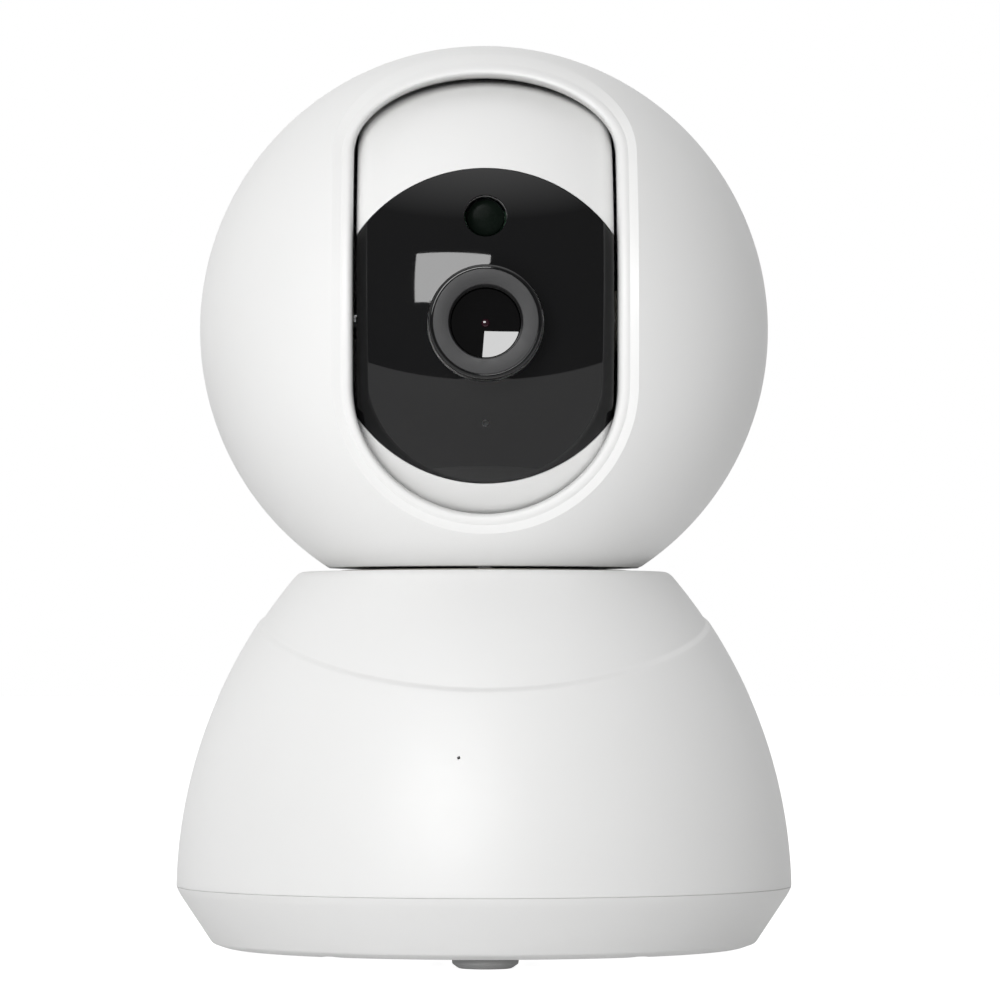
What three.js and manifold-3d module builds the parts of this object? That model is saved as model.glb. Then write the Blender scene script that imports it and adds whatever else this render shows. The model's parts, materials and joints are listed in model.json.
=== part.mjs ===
// Indoor pan-and-tilt security camera: a weighted base, a head that pans on it, and a lens drum that tilts in
// the head. Millimetres, +Z up. The origin is on the pan axis, in the plane that the feet stand on. The lens
// looks along -Y.

import * as THREE from 'three';
import { mergeVertices } from 'three/addons/utils/BufferGeometryUtils.js';
import Module from 'manifold-3d';

const wasm = await Module();
wasm.setup();

// Driving dimensions
const gap = 0.3;                 // between pieces that touch
const wall = 2;                  // moulded shells

const feetHeight = 1.3;          // the bottom cover stands this high
const footRadius = 4.25;
const footCircle = 28;
const seamHeight = 9.2;          // joint of base dome and bottom cover
const baseRadius = 40;
const baseHeight = 50;
const domeArc = 64.6;            // the dome's side is one arc
const domeArcHeight = 7.9;
const neckHole = 19.3;
const coverScrewCircle = 31.5;
const turntableScrewCircle = 16.9;
const coverBore = 1.4;           // pilot bore for a cover screw
const screwBore = 1.2;           // pilot bore for every smaller screw

const headRadius = 37;
const headCentre = 81.5;
const headFloor = 50.5;
const floorThickness = 2.5;
const shellSplit = 4;            // head front shell and rear shell meet at this Y

const slotHalfWidth = 16.65;
const slotTop = 113.4;
const slotTopArch = 10.6;
const slotBottom = 57;
const slotBottomArch = 16;

const tiltY = -2;
const tiltZ = 82.4;
const drumRadius = 31.6;         // at the middle of its crowned barrel
const drumCrown = 34;            // radius of the barrel's crown
const drumHalfWidth = 16.2;
const drumFillet = 1.5;
const drumWall = 3;

const windowRadius = 19.75;
const windowThickness = 1.3;
const ringRadius = 7.15;
const opticsZ = 80.6;            // the lens looks out a little below the tilt axis
const ringFront = 34.8;
const barrelRadius = 6;
const lensBore = 4.7;            // the barrel's mouth, round the dished front lens
const sensorHoleRadius = 2.7;
const sensorHoleRise = 13.55;    // light sensor above the optical axis
const micHoleDrop = 12.35;
const micHoleRadius = 0.4;

const gearModule = 0.6;
const panTeeth = 54;
const pinionTeeth = 18;
const gearBottom = 36;
const gearTop = 41;
const pinionY = (gearModule * (panTeeth + pinionTeeth)) / 2;

const boardTop = 12.6;
const boardThickness = 1.6;
const panMotorY = 13.6;
const panMotorRadius = 12;
const motorBottom = 16.3;
const motorTop = 33.1;
const pocketY = 37;              // flat face of the inlet pocket at the rear
const inletHeight = 14.5;

const shaftRadius = 2.2;
const shaftEnd = 22.4;           // the drive shaft reaches this far into the tilt motor
const hubRadius = 5;
const bushRadius = 4.2;
const bracketFoot = headFloor + floorThickness + gap;
const bracketTop = 92;
const bracketHalfWidth = 7;
const bracketInner = 17.2;
const bracketOuter = 18.9;
const motorOffset = 6;           // the tilt motor's can is this far below its output shaft
const tiltScrewHeights = [63, 89.8];
const earMargin = 2.2;           // the motor's ears run on past their screws

const ledOffset = 7.4;           // infrared LEDs, across and up from the lens axis
const cardAngle = -62;           // the card slot, round the drum from straight ahead
const cardSlot = [5.8, 0.6];     // its half width and half height
const cardSocket = [6.8, 0.9];

// Solids: every helper turns a three.js geometry into a solid that can be joined and cut.

function solidFrom(geometry) {
  geometry.deleteAttribute('normal');
  geometry.deleteAttribute('uv');
  const merged = mergeVertices(geometry, 1e-4);
  const corners = merged.index.array;
  const kept = [];
  for (let i = 0; i < corners.length; i += 3) {
    const [a, b, c] = [corners[i], corners[i + 1], corners[i + 2]];
    if (a !== b && b !== c && c !== a) kept.push(a, b, c);
  }
  const vertProperties = Float32Array.from(merged.attributes.position.array);
  return new wasm.Manifold(new wasm.Mesh({ numProp: 3, vertProperties, triVerts: Uint32Array.from(kept) }));
}

function geometryFrom(solid) {
  const mesh = solid.getMesh();
  const geometry = new THREE.BufferGeometry();
  geometry.setAttribute('position', new THREE.BufferAttribute(Float32Array.from(mesh.vertProperties), 3));
  geometry.setIndex(new THREE.BufferAttribute(Uint32Array.from(mesh.triVerts), 1));
  geometry.computeVertexNormals();
  return geometry;
}

function joined(...solids) {
  return solids.reduce((sum, solid) => sum.add(solid));
}

function cut(solid, ...tools) {
  return tools.reduce((rest, tool) => rest.subtract(tool), solid);
}

function block([x0, x1], [y0, y1], [z0, z1]) {
  const geometry = new THREE.BoxGeometry(x1 - x0, y1 - y0, z1 - z0);
  geometry.translate((x0 + x1) / 2, (y0 + y1) / 2, (z0 + z1) / 2);
  return solidFrom(geometry);
}

// A rod along an axis from low to high. across holds its place on the other two axes, in X, Y, Z order.
function rod(axis, radius, low, high, across = [0, 0], sides = 16) {
  const geometry = new THREE.CylinderGeometry(radius, radius, high - low, sides);
  geometry.translate(0, (low + high) / 2, 0);
  if (axis === 'x') geometry.rotateZ(-Math.PI / 2).translate(0, across[0], across[1]);
  if (axis === 'y') geometry.translate(across[0], 0, across[1]);
  if (axis === 'z') geometry.rotateX(Math.PI / 2).translate(across[0], across[1], 0);
  return solidFrom(geometry);
}

// A profile of [radius, height] turned about Z, anticlockwise. It runs from the axis
// back to the axis, or closes on itself.
function lathe(profile, sides) {
  const points = profile.map(([radius, height]) => new THREE.Vector2(radius, height));
  if (profile[0][0] > 0) points.push(points[0].clone());
  return new THREE.LatheGeometry(points, sides).rotateX(Math.PI / 2);
}

function turned(profile, sides = 40) {
  return solidFrom(lathe(profile, sides));
}

// The same profile turned about the lens axis: its height runs forward from the tilt axis.
function turnedForward(profile, sides = 32) {
  return solidFrom(lathe(profile, sides).rotateX(Math.PI / 2).translate(0, tiltY, opticsZ));
}

function ringProfile(inner, outer, low, high) {
  return [[inner, high], [inner, low], [outer, low], [outer, high]];
}

function forward(distance) {
  return tiltY - distance;
}

function along(radius, near, far, [x, rise] = [0, 0], sides = 16) {
  return rod('y', radius, forward(far), forward(near), [x, opticsZ + rise], sides);
}

function forwardBlock(halfWidth, [low, high], [near, far]) {
  return block([-halfWidth, halfWidth], [forward(far), forward(near)], [opticsZ + low, opticsZ + high]);
}

function polar(radius, degrees) {
  const angle = THREE.MathUtils.degToRad(degrees);
  return [radius * Math.cos(angle), radius * Math.sin(angle)];
}

function arc(centreR, centreZ, radius, from, to, steps) {
  return Array.from({ length: steps + 1 }, (_, i) => {
    const [r, z] = polar(radius, from + ((to - from) * i) / steps);
    return [centreR + r, centreZ + z];
  });
}

// A screw along an axis: head from headLow to headHigh, and shank on to tip.
function screw(axis, headRadius, shankRadius, [headLow, headHigh], tip, across) {
  const head = rod(axis, headRadius, headLow, headHigh, across, 12);
  const low = Math.min(tip, headLow);
  const high = Math.max(tip, headHigh);
  return joined(head, rod(axis, shankRadius, low, high, across, 8));
}

const white = { color: 0xeeeeec, roughness: 0.45, metalness: 0 };
const black = { color: 0x101112, roughness: 0.15, metalness: 0 };
const darkPlastic = { color: 0x3a3a3c, roughness: 0.5, metalness: 0 };
const innerPlastic = { color: 0x2b2d30, roughness: 0.6, metalness: 0 };
const rubber = { color: 0x6d6d6f, roughness: 0.85, metalness: 0 };
const steel = { color: 0xb9bcc0, roughness: 0.35, metalness: 0.9 };
const brass = { color: 0xc9a557, roughness: 0.35, metalness: 0.9 };
const circuitBoard = { color: 0x1d5a34, roughness: 0.5, metalness: 0 };
const acetal = { color: 0xe6e2d6, roughness: 0.5, metalness: 0 };
const glass = { color: 0x0c0f18, roughness: 0.05, metalness: 0 };

const camera = new THREE.Group();

function add(name, solid, finish) {
  const mesh = new THREE.Mesh(geometryFrom(solid), new THREE.MeshStandardMaterial(finish));
  mesh.name = name;
  camera.add(mesh);
}

// Base: the cover's screws stand on one circle, and the feet on a smaller one between them.
const coverScrewPlaces = [20, 160, 235, 305].map((angle) => polar(coverScrewCircle, angle));
const turntableScrewPlaces = [30, 150, 270].map((angle) => polar(turntableScrewCircle, angle));
const footPlaces = {
  foot_front: polar(footCircle, 270),
  foot_rear_left: polar(footCircle, 130),
  foot_rear_right: polar(footCircle, 50),
};
const boardPostPlaces = [[-16, -17], [16, -17], [-16, 24], [16, 24]];
const bracketScrewPlaces = [[-25, 5], [25, 5]];
const motorScrewPlaces = [[-17.5, panMotorY], [17.5, panMotorY]];
const microphonePlace = [-3.35, 26.5];

function domeRadiusAt(height) {
  return baseRadius - domeArc + Math.sqrt(domeArc ** 2 - (height - domeArcHeight) ** 2);
}

function domeSide(inset, low, high, steps) {
  return Array.from({ length: steps + 1 }, (_, i) => {
    const height = low + ((high - low) * i) / steps;
    return [domeRadiusAt(height) - inset, height];
  });
}

function baseDome() {
  const ceiling = baseHeight - wall;
  const outside = domeSide(0, seamHeight + gap / 2, baseHeight, 7);
  const inside = domeSide(wall + 0.1, seamHeight + gap / 2, ceiling, 4).reverse();
  const shell = turned([...inside, ...outside, [neckHole, baseHeight], [neckHole, ceiling]]);
  const bosses = coverScrewPlaces.map((place) => rod('z', 2.6, 4.4, 31, place, 12));
  const hangers = bracketScrewPlaces.map((place) => rod('z', 2.4, 35.5, 43, place, 12));
  const pad = block([-12, 12], [pocketY - wall, pocketY - 0.5], [11, 20.5]);
  const dome = joined(shell, ...bosses, ...hangers, pad);
  const bores = coverScrewPlaces.map((place) => rod('z', coverBore, 4, 14, place, 8));
  const hangerBores = bracketScrewPlaces.map((place) => rod('z', screwBore, 35, 41.5, place, 8));
  const pocket = block([-11.5, 11.5], [pocketY, 45], [11.6, 19.6]);
  const inletHole = block([-4.8, 4.8], [30, 45], [inletHeight - 2, inletHeight + 2]);
  const buttonHole = rod('y', 1.7, 30, 45, [8.5, inletHeight + 1]);
  const pinhole = rod('y', 0.35, -45, -30, microphonePlace, 8);
  return cut(dome, ...bores, ...hangerBores, pocket, inletHole, buttonHole, pinhole);
}

function bottomCover() {
  const low = feetHeight;
  const top = seamHeight - gap / 2;
  const side = [[33.6, low], [35.2, low + 0.6], [39.5, top - 0.9], [39.9, top]];
  const inside = [[37.8, top], [37.2, top - 1.2], [33.6, low + wall]];
  const cover = turned([...side, ...inside, [0, low + wall], [0, low]]);
  const collar = rod('z', 8, low, 10.2, [0, 0], 24);
  const posts = boardPostPlaces.map((place) => rod('z', 2, low, boardTop - boardThickness - gap, place, 12));
  const footPocket = (place) => rod('z', footRadius + gap, 0, low + 0.8, place, 20);
  const pockets = Object.values(footPlaces).map(footPocket);
  const screwHoles = coverScrewPlaces.flatMap((place) => [
    rod('z', 2.5, 0, low + 0.9, place, 12),
    rod('z', coverBore, 0, 5, place, 8),
  ]);
  const soundSlots = [-6, -2, 2, 6].map((x) => block([x - 0.7, x + 0.7], [-24, -12], [0, 5]));
  const body = joined(cover, collar, ...posts);
  return cut(body, rod('z', 5.8, 0, 12, [0, 0], 24), ...pockets, ...screwHoles, ...soundSlots);
}

function halfTurned(profile) {
  return cut(turned(profile, 32), block([-50, 50], [-50, 0.5], [-1, 60]));
}

function gear(teeth, phase, low, high) {
  const pitchRadius = (gearModule * teeth) / 2;
  const step = (2 * Math.PI) / teeth;
  const root = pitchRadius - 1.25 * gearModule;
  const tip = pitchRadius + 0.85 * gearModule;
  const corners = [[root, -0.32], [tip, -0.11], [tip, 0.11], [root, 0.32]];
  const points = [];
  for (let tooth = 0; tooth < teeth; tooth++) {
    for (const [r, share] of corners) {
      const angle = phase + (tooth + share) * step;
      points.push(new THREE.Vector2(r * Math.cos(angle), r * Math.sin(angle)));
    }
  }
  const options = { depth: high - low, bevelEnabled: false };
  return new THREE.ExtrudeGeometry(new THREE.Shape(points), options).translate(0, 0, low);
}

function panTurntable() {
  const body = turned([
    [10.5, gearTop - 0.5], [14.5, gearTop - 0.5], [14.5, 44], [21, 44], [21, 45.5],
    [18.6, 45.5], [18.6, 50.2], [15.2, 50.2], [13.5, 48], [10.5, 48],
  ]);
  const ring = solidFrom(gear(panTeeth, Math.PI / 2, gearBottom, gearTop));
  const holes = turntableScrewPlaces.map((place) => rod('z', screwBore, 43, 51, place, 8));
  return cut(joined(body, ring), rod('z', 11, 30, 60, [0, 0], 32), ...holes);
}

function panPinion() {
  const toothed = solidFrom(gear(pinionTeeth, -Math.PI / 2 + Math.PI / pinionTeeth, gearBottom, gearTop)
    .translate(0, pinionY, 0));
  return joined(toothed, rod('z', 2.4, motorTop + gap, gearBottom + 1, [0, pinionY]));
}

function panMotor() {
  const can = rod('z', panMotorRadius, motorBottom, motorTop, [0, panMotorY], 28);
  const ears = block([-20, 20], [11, 16.2], [motorTop - 1.5, motorTop]);
  const holes = motorScrewPlaces.map((place) => rod('z', screwBore, 25, 40, place, 8));
  return cut(joined(can, ears), ...holes);
}

function panBracket() {
  const low = motorTop + gap;
  const plate = cut(rod('z', 29, low, low + 1.8, [0, 0], 40), block([-50, 50], [-50, -4], [30, 40]));
  const holes = [...bracketScrewPlaces, ...motorScrewPlaces].map((place) => rod('z', screwBore, 30, 40, place, 8));
  return cut(plate, rod('z', 3.2, 30, 40, [0, pinionY]), rod('z', 8, 30, 40, [0, 0], 24), ...holes);
}

function cableLoom() {
  const route = new THREE.CatmullRomCurve3([
    new THREE.Vector3(0, -4.5, 47), new THREE.Vector3(0, -4.5, 36), new THREE.Vector3(0, -4.5, 25),
    new THREE.Vector3(-2, -6, 18), new THREE.Vector3(-3.4, -7.6, boardTop + 1.4),
  ]);
  const section = new THREE.Shape();
  section.absarc(0, 0, 1.6, 0, 2 * Math.PI);
  const options = { extrudePath: route, steps: 12, curveSegments: 4, bevelEnabled: false };
  return solidFrom(new THREE.ExtrudeGeometry(section, options));
}

add('base_dome', baseDome(), white);
add('base_bottom_cover', bottomCover(), white);
for (const [name, place] of Object.entries(footPlaces)) {
  add(name, rod('z', footRadius, 0, feetHeight + 0.5, place, 20), rubber);
}
add('ballast_plate', halfTurned(ringProfile(9, 26, feetHeight + wall + gap, 6)), steel);
add('speaker', turned([[0, 3.6], [9.5, 3.6], [9.5, 5.2], [6.5, 7], [6.5, 9], [0, 9]], 24)
  .translate(0, -18.2, 0), innerPlastic);
add('tripod_insert', turned([
  [0, 8.9], [3.2, 8.9], [3.2, 1.7], [5.5, 1.7], [5.5, 9.9], [0, 9.9],
], 24), brass);
add('main_board', block([-19, 19], [-20, 27], [boardTop - boardThickness, boardTop]), circuitBoard);
add('power_inlet', cut(
  block([-4.4, 4.4], [25.5, pocketY - 0.4], [boardTop + gap, inletHeight + 1.6]),
  block([-3.6, 3.6], [31, 45], [inletHeight - 0.9, inletHeight + 0.9]),
), steel);
add('reset_switch', block([6.5, 10.5], [24, 31.6], [boardTop + gap, inletHeight + 3]), innerPlastic);
add('reset_button', joined(
  rod('y', 1.4, 33, pocketY + 0.4, [8.5, inletHeight + 1]),
  rod('y', 2.2, 32.7, 34.2, [8.5, inletHeight + 1]),
), white);
add('base_microphone', rod('y', 2, -33.6, -31.6, microphonePlace), steel);
add('wifi_antenna', block([-14, 14], [-29.4, -28.6], [13.2, 20]), circuitBoard);
add('pan_motor', panMotor(), steel);
add('pan_bracket', panBracket(), innerPlastic);
add('pan_pinion', panPinion(), acetal);
add('slide_ring', turned(ringProfile(19.4, 23.4, 45.8, 47.7), 32), acetal);
add('cable_loom', cableLoom(), innerPlastic);
coverScrewPlaces.forEach((place, i) => {
  add(`cover_screw_${i + 1}`, screw('z', 2.2, 1.1, [1.6, feetHeight + 0.7 - gap / 2], 12, place), steel);
});
bracketScrewPlaces.forEach((place, i) => {
  add(`bracket_screw_${i + 1}`, screw('z', 2, 0.9, [motorTop - 1.3, motorTop], 41, place), steel);
});
motorScrewPlaces.forEach((place, i) => {
  add(`pan_motor_screw_${i + 1}`, screw('z', 1.9, 0.9, [35.5, 36.8], 30, place), steel);
});

// Head: a sphere on a flat floor, in two shells, with a slot that the drum looks through.

function slotOutline() {
  const outline = new THREE.Shape();
  const topCentre = slotTop - slotTopArch;
  const bottomCentre = slotBottom + slotBottomArch;
  outline.moveTo(slotHalfWidth, bottomCentre);
  outline.absellipse(0, topCentre, slotHalfWidth, slotTopArch, 0, Math.PI);
  outline.absellipse(0, bottomCentre, slotHalfWidth, slotBottomArch, Math.PI, 2 * Math.PI);
  return outline;
}

function headShell() {
  const inner = headRadius - wall;
  const floorTop = headFloor + floorThickness;
  const low = (radius, height) => THREE.MathUtils.radToDeg(Math.asin((height - headCentre) / radius));
  const inside = arc(0, headCentre, inner, 90, low(inner, floorTop), 8);
  const outside = arc(0, headCentre, headRadius, low(headRadius, headFloor), 90, 11);
  inside[0][0] = 0;
  outside[outside.length - 1][0] = 0;
  return turned([...inside, [18, floorTop], [15.5, headFloor + 0.7], [15.5, headFloor], ...outside], 44);
}

function headFront() {
  const options = { depth: 60, curveSegments: 14, bevelEnabled: false };
  const slot = new THREE.ExtrudeGeometry(slotOutline(), options);
  slot.rotateX(Math.PI / 2);
  const behind = block([-60, 60], [shellSplit - gap / 2, 60], [0, 140]);
  const bores = turntableScrewPlaces.map((place) => rod('z', screwBore, 50, 52, place, 8));
  return cut(headShell(), behind, solidFrom(slot), ...bores);
}

function headRear() {
  const before = block([-60, 60], [-60, shellSplit + gap / 2], [0, 140]);
  const bores = turntableScrewPlaces.map((place) => rod('z', screwBore, 50, 52, place, 8));
  return cut(headShell(), before, ...bores);
}

// side is 1 for the motor's side and -1 for the free side.
function spanX(side, low, high) {
  return side > 0 ? [low, high] : [-high, -low];
}

function tiltBracket(side) {
  const outline = new THREE.Shape();
  const narrow = bracketHalfWidth - 3;
  outline.moveTo(tiltY - narrow, bracketFoot);
  outline.lineTo(tiltY + narrow, bracketFoot);
  outline.lineTo(tiltY + bracketHalfWidth, 62);
  outline.lineTo(tiltY + bracketHalfWidth, bracketTop - 4);
  outline.lineTo(tiltY + narrow, bracketTop);
  outline.lineTo(tiltY - narrow, bracketTop);
  outline.lineTo(tiltY - bracketHalfWidth, bracketTop - 4);
  outline.lineTo(tiltY - bracketHalfWidth, 62);
  const thickness = bracketOuter - bracketInner;
  const options = { depth: thickness, bevelEnabled: false };
  const plate = new THREE.ExtrudeGeometry(outline, options);
  plate.rotateX(Math.PI / 2).rotateZ(Math.PI / 2);
  plate.translate(spanX(side, bracketInner, bracketOuter)[0], 0, 0);
  const footX = spanX(side, bracketInner, bracketOuter + 0.6);
  const foot = block(footX, [tiltY - 2.5, tiltY + 4], [bracketFoot, bracketFoot + thickness]);
  const bore = rod('x', bushRadius + gap, -30, 30, [tiltY, tiltZ], 24);
  const holes = tiltScrewHeights.map((height) => rod('x', screwBore, -30, 30, [tiltY, height], 12));
  return cut(joined(solidFrom(plate), foot), bore, ...(side > 0 ? holes : []));
}

function tiltMotor() {
  const can = rod('x', 9.6, bracketOuter + gap, 29, [tiltY, tiltZ - motorOffset], 24);
  const earHeights = [tiltScrewHeights[0] - earMargin, tiltScrewHeights[1] + earMargin];
  const ears = block([bracketOuter + gap, 20.6], [tiltY - 3, tiltY + 3], earHeights);
  const holes = tiltScrewHeights.map((height) => rod('x', screwBore, 10, 30, [tiltY, height], 12));
  const shaftBore = rod('x', shaftRadius + gap, 10, 23, [tiltY, tiltZ]);
  return cut(joined(can, ears), shaftBore, ...holes);
}

add('pan_turntable', panTurntable(), acetal);
turntableScrewPlaces.forEach((place, i) => {
  add(`turntable_screw_${i + 1}`, screw('z', 1.8, 0.9, [42.4, 43.7], 51.4, place), steel);
});
add('head_front_shell', headFront(), white);
add('head_rear_shell', headRear(), white);
for (const [name, side] of [['right', 1], ['left', -1]]) {
  const bush = ringProfile(shaftRadius + gap, bushRadius, bracketInner - gap, bracketOuter);
  const bushGeometry = lathe(bush, 20).rotateY((side * Math.PI) / 2).translate(0, tiltY, tiltZ);
  add(`tilt_bracket_${name}`, tiltBracket(side), innerPlastic);
  add(`tilt_bush_${name}`, solidFrom(bushGeometry), acetal);
}
add('tilt_motor', tiltMotor(), steel);
tiltScrewHeights.forEach((height, i) => {
  add(`tilt_motor_screw_${i + 1}`, screw('x', 1.9, 0.9, [20.9, 22.1], 17.4, [tiltY, height]), steel);
});

// Lens drum: a crowned barrel about the tilt axis. inset gives the inner surfaces of its walls.

function drumBody(inset) {
  const radiusAt = (x) => drumRadius - inset - drumCrown + Math.sqrt(drumCrown ** 2 - x ** 2);
  const end = drumHalfWidth - inset;
  const shoulder = end - drumFillet;
  const middle = 0.29 * drumFillet;  // of the fillet's curve, in from both faces
  const half = [
    [radiusAt(end) - drumFillet, end],
    [radiusAt(end - middle) - middle, end - middle],
    [radiusAt(shoulder), shoulder],
  ];
  const crown = [0.66, 0.33, 0, -0.33, -0.66].map((share) => [radiusAt(share * shoulder), share * shoulder]);
  const lower = half.map(([radius, x]) => [radius, -x]);
  const profile = [[0, -end], ...lower, ...crown.reverse(), ...half.reverse(), [0, end]];
  return solidFrom(lathe(profile, 36).rotateY(Math.PI / 2).translate(0, tiltY, tiltZ));
}

function drumShell(side) {
  const shell = drumBody(0).subtract(drumBody(drumWall));
  const half = side === 'front'
    ? block([-60, 60], [tiltY - gap / 2, 60], [0, 140])
    : block([-60, 60], [-60, tiltY + gap / 2], [0, 140]);
  return cut(shell, half, rod('x', shaftRadius + gap, -30, 30, [tiltY, tiltZ]));
}

const ledPlaces = [[-1, 1], [1, 1], [-1, -1], [1, -1]].map((side) => side.map((way) => way * ledOffset));

function cardBlock([halfWidth, halfHeight], near, far) {
  const geometry = new THREE.BoxGeometry(2 * halfWidth, far - near, 2 * halfHeight);
  geometry.translate(0, -(near + far) / 2, 0);
  geometry.rotateX(THREE.MathUtils.degToRad(-cardAngle)).translate(0, tiltY, tiltZ);
  return solidFrom(geometry);
}

function drumFront() {
  const recess = along(windowRadius + gap, 0, 40, [0, 0], 40).subtract(drumBody(windowThickness + gap));
  const ledHoles = ledPlaces.map((place) => along(1.9, 10, 40, place));
  return cut(
    drumShell('front'), recess, along(barrelRadius + gap, 10, 40, [0, 0], 24), ...ledHoles,
    along(sensorHoleRadius, 10, 40, [0, sensorHoleRise]), along(micHoleRadius, 10, 40, [0, -micHoleDrop], 8),
    cardBlock(cardSlot, 20, 40),
  );
}

function cameraWindow() {
  const skin = drumBody(0).subtract(drumBody(windowThickness));
  const plate = skin.intersect(along(windowRadius, 5, 40, [0, 0], 40));
  return cut(
    plate, along(ringRadius + gap, 10, 40, [0, 0], 32),
    along(sensorHoleRadius, 10, 40, [0, sensorHoleRise]), along(micHoleRadius, 10, 40, [0, -micHoleDrop], 8),
  );
}

function lensHolder() {
  return cut(
    forwardBlock(7.5, [-7.5, 7.5], [7.9, 19]),
    along(barrelRadius + gap, 14.7, 20, [0, 0], 24),
    forwardBlock(5, [-5, 5], [7, 14.9]),
  );
}

function shaft(side) {
  const hub = rod('x', hubRadius, ...spanX(side, 11, 12.9), [tiltY, tiltZ], 20);
  return joined(hub, rod('x', shaftRadius, ...spanX(side, 11, side > 0 ? shaftEnd : bracketOuter), [tiltY, tiltZ]));
}

add('drum_front_shell', drumFront(), white);
add('drum_rear_shell', drumShell('rear'), white);
add('window', cameraWindow(), black);
add('lens_ring', turnedForward([
  [barrelRadius + gap, 31.9], [barrelRadius + gap, 30.3], [ringRadius, 30.3], [ringRadius, ringFront - 0.6],
  [6.6, ringFront], [lensBore - 0.1, ringFront - 0.2], [lensBore - 0.3, 31.9],
]), darkPlastic);
add('lens_barrel', turnedForward([
  [2.5, 15], [barrelRadius, 15], [barrelRadius, 31.6], [lensBore, 31.6], [lensBore, 28.5], [2.5, 28.5],
], 24), innerPlastic);
add('front_lens', turnedForward([
  [0, 28.5 + gap], [lensBore - gap, 28.5 + gap], [lensBore - gap, 31.3], [3, 30.96], [1.5, 30.77], [0, 30.7],
], 24), glass);
add('lens_holder', lensHolder(), innerPlastic);
add('ir_cut_filter', forwardBlock(4.7, [-4.7, 4.7], [12, 12.6]), glass);
add('image_sensor', forwardBlock(3.6, [-3.6, 3.6], [7.9, 9.5]), innerPlastic);
add('sensor_board', forwardBlock(12, [-11, 11], [6, 7.6]), circuitBoard);
add('led_board', cut(
  forwardBlock(10.5, [-13, 14.6], [21.2, 22.4]),
  along(barrelRadius + gap, 10, 30, [0, 0], 24),
), circuitBoard);
ledPlaces.forEach((place, i) => {
  add(`infrared_led_${i + 1}`, along(1.5, 23, 26, place, 12), glass);
});
add('light_sensor', along(2.4, 23, 27.6, [0, sensorHoleRise]), glass);
add('lens_microphone', along(1.8, 23, 24.4, [0, -micHoleDrop + 1]), steel);
add('card_socket', cardBlock(cardSocket, 15.5, 27.6), steel);
add('drive_shaft', shaft(1), steel);
add('trunnion', shaft(-1), steel);

export default camera;
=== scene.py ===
import json
import math

import bmesh
import bpy
import numpy as np
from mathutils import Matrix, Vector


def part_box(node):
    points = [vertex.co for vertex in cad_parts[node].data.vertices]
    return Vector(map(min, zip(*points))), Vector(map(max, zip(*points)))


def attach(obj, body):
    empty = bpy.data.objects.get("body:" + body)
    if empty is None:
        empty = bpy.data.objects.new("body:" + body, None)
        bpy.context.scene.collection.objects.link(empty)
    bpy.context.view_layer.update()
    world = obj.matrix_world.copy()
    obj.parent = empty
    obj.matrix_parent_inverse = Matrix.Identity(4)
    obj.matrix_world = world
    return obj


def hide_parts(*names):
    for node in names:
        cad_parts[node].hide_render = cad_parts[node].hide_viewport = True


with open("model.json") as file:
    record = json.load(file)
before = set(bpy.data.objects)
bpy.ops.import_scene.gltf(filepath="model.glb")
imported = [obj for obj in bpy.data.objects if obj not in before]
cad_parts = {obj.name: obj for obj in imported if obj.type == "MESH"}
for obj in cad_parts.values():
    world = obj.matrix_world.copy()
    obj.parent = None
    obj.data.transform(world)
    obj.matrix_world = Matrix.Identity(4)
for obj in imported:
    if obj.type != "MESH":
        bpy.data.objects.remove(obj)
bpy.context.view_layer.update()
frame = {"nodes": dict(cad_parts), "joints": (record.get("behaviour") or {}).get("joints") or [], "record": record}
joints = {joint["name"]: joint for joint in frame["joints"]}
mm = 0.001  # every size below is in millimetres


# Sizes and places that the frame gives.
def boxOf(node):
    low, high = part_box(node)
    return np.array(low) / mm, np.array(high) / mm


domeHigh = boxOf("base_dome")[1]
coverLow = boxOf("base_bottom_cover")[0]
headLow, headHigh = boxOf("head_front_shell")
tiltY, tiltZ = [value / mm for value in joints["lens_tilt"]["pos_m"][1:]]
ringLow, ringHigh = boxOf("lens_ring")
opticsZ = (ringLow[2] + ringHigh[2]) / 2   # the lens sits a little below the tilt axis


# Corner numbers of the quads between neighbouring rows and columns.
# A wrapped way joins its last line to its first.
def gridFaces(rows, columns, wrapRows, wrapColumns):
    i = np.arange(rows if wrapRows else rows - 1)[:, None]
    j = np.arange(columns if wrapColumns else columns - 1)[None, :]
    nextI, nextJ = (i + 1) % rows, (j + 1) % columns
    row, nextRow = i * columns, nextI * columns
    corners = np.broadcast_arrays(row + j, row + nextJ, nextRow + nextJ, nextRow + j)
    return np.stack(corners, axis=-1).reshape(-1, 4)


def meshObject(name, points, faces, sharpAngle=32):
    mesh = bpy.data.meshes.new(name)
    mesh.from_pydata((points.reshape(-1, 3) * mm).tolist(), [], faces.tolist())
    bm = bmesh.new()
    bm.from_mesh(mesh)
    bmesh.ops.remove_doubles(bm, verts=bm.verts, dist=1e-6)
    bmesh.ops.dissolve_degenerate(bm, edges=bm.edges, dist=1e-7)
    bmesh.ops.recalc_face_normals(bm, faces=bm.faces)
    bm.to_mesh(mesh)
    bm.free()
    smooth(mesh, sharpAngle)
    piece = bpy.data.objects.new(name, mesh)
    bpy.context.scene.collection.objects.link(piece)
    return piece


def smooth(mesh, sharpAngle):
    mesh.polygons.foreach_set("use_smooth", np.ones(len(mesh.polygons), bool))
    mesh.set_sharp_from_angle(angle=math.radians(sharpAngle))


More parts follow.
